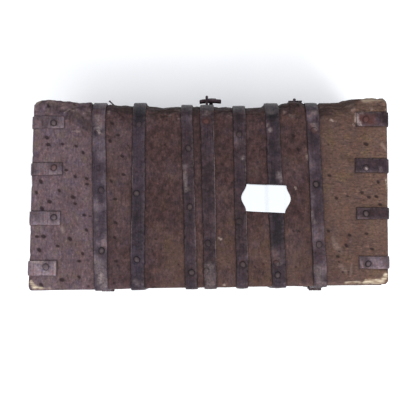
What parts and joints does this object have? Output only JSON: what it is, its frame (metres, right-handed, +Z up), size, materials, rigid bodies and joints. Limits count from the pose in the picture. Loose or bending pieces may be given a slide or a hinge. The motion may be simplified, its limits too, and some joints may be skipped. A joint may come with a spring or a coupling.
{
  "type": "iron-bound casket",
  "caption": "Small wooden strongbox covered in leather and bound with riveted iron straps, with a hinged lid, a hanging hasp and a sliding-bolt lock.",
  "frame": {"origin": "middle of the underside, level with the undersides of the straps that the casket stands on", "axes": "+X to the right of someone facing the front, along the length; the front faces -Y; +Z is up"},
  "size_m": [0.1982, 0.1166, 0.0907],
  "materials": {
    "wood": "dry, bare",
    "leather": "worn, dark brown",
    "iron": "forged, dark and pitted",
    "bright_iron": "forged, rubbed bright"
  },
  "bodies": {
    "chest": {"base_board": "wood", "front_board": "wood", "back_board": "wood", "right_end_board": "wood", "left_end_board": "wood", "chest_leather": "leather", "chest_strap_1": "iron", "chest_strap_2": "iron", "chest_strap_3": "iron", "chest_strap_4": "iron", "chest_strap_5": "iron", "chest_strap_6": "iron", "chest_strap_7": "iron", "chest_right_end_strap_1": "iron", "chest_left_end_strap_1": "iron", "chest_right_end_strap_2": "iron", "chest_left_end_strap_2": "iron", "chest_right_end_strap_3": "iron", "chest_left_end_strap_3": "iron", "chest_right_end_strap_4": "iron", "chest_left_end_strap_4": "iron", "right_hinge_pin": "bright_iron", "left_hinge_pin": "bright_iron", "lock_plate": "iron", "nose_guide": "bright_iron", "tail_guide": "bright_iron", "bolt_spring": "bright_iron", "key_post": "bright_iron"},
    "lid": {"lid_board": "wood", "lid_front_rail": "wood", "lid_back_rail": "wood", "lid_right_rail": "wood", "lid_left_rail": "wood", "lid_leather": "leather", "lid_strap_1": "iron", "lid_strap_2": "iron", "lid_strap_3": "iron", "lid_strap_4": "iron", "lid_strap_5": "iron", "lid_strap_6": "iron", "lid_strap_7": "iron", "lid_right_end_strap_1": "iron", "lid_left_end_strap_1": "iron", "lid_right_end_strap_2": "iron", "lid_left_end_strap_2": "iron", "lid_right_end_strap_3": "iron", "lid_left_end_strap_3": "iron", "lid_right_end_strap_4": "iron", "lid_left_end_strap_4": "iron", "hasp_staple": "iron", "small_staple": "iron", "small_staple_rove": "iron", "bent_wire": "iron"},
    "hasp": {"hasp": "iron"},
    "lock_bolt": {"lock_bolt": "bright_iron"}
  },
  "joints": [
    {"name": "lid_hinge", "type": "hinge", "parent": "chest", "child": "lid", "pos_m": [0, 0.0522, 0.0624], "axis": [-1, 0, 0], "range_deg": [0, 165]},
    {"name": "hasp_swing", "type": "hinge", "parent": "lid", "child": "hasp", "pos_m": [-0.00103, -0.0535, 0.07362], "axis": [-1, 0, 0], "range_deg": [-11, 165]},
    {"name": "bolt_slide", "type": "slide", "parent": "chest", "child": "lock_bolt", "axis": [-1, 0, 0], "range_m": [0, 0.0036]}
  ]
}
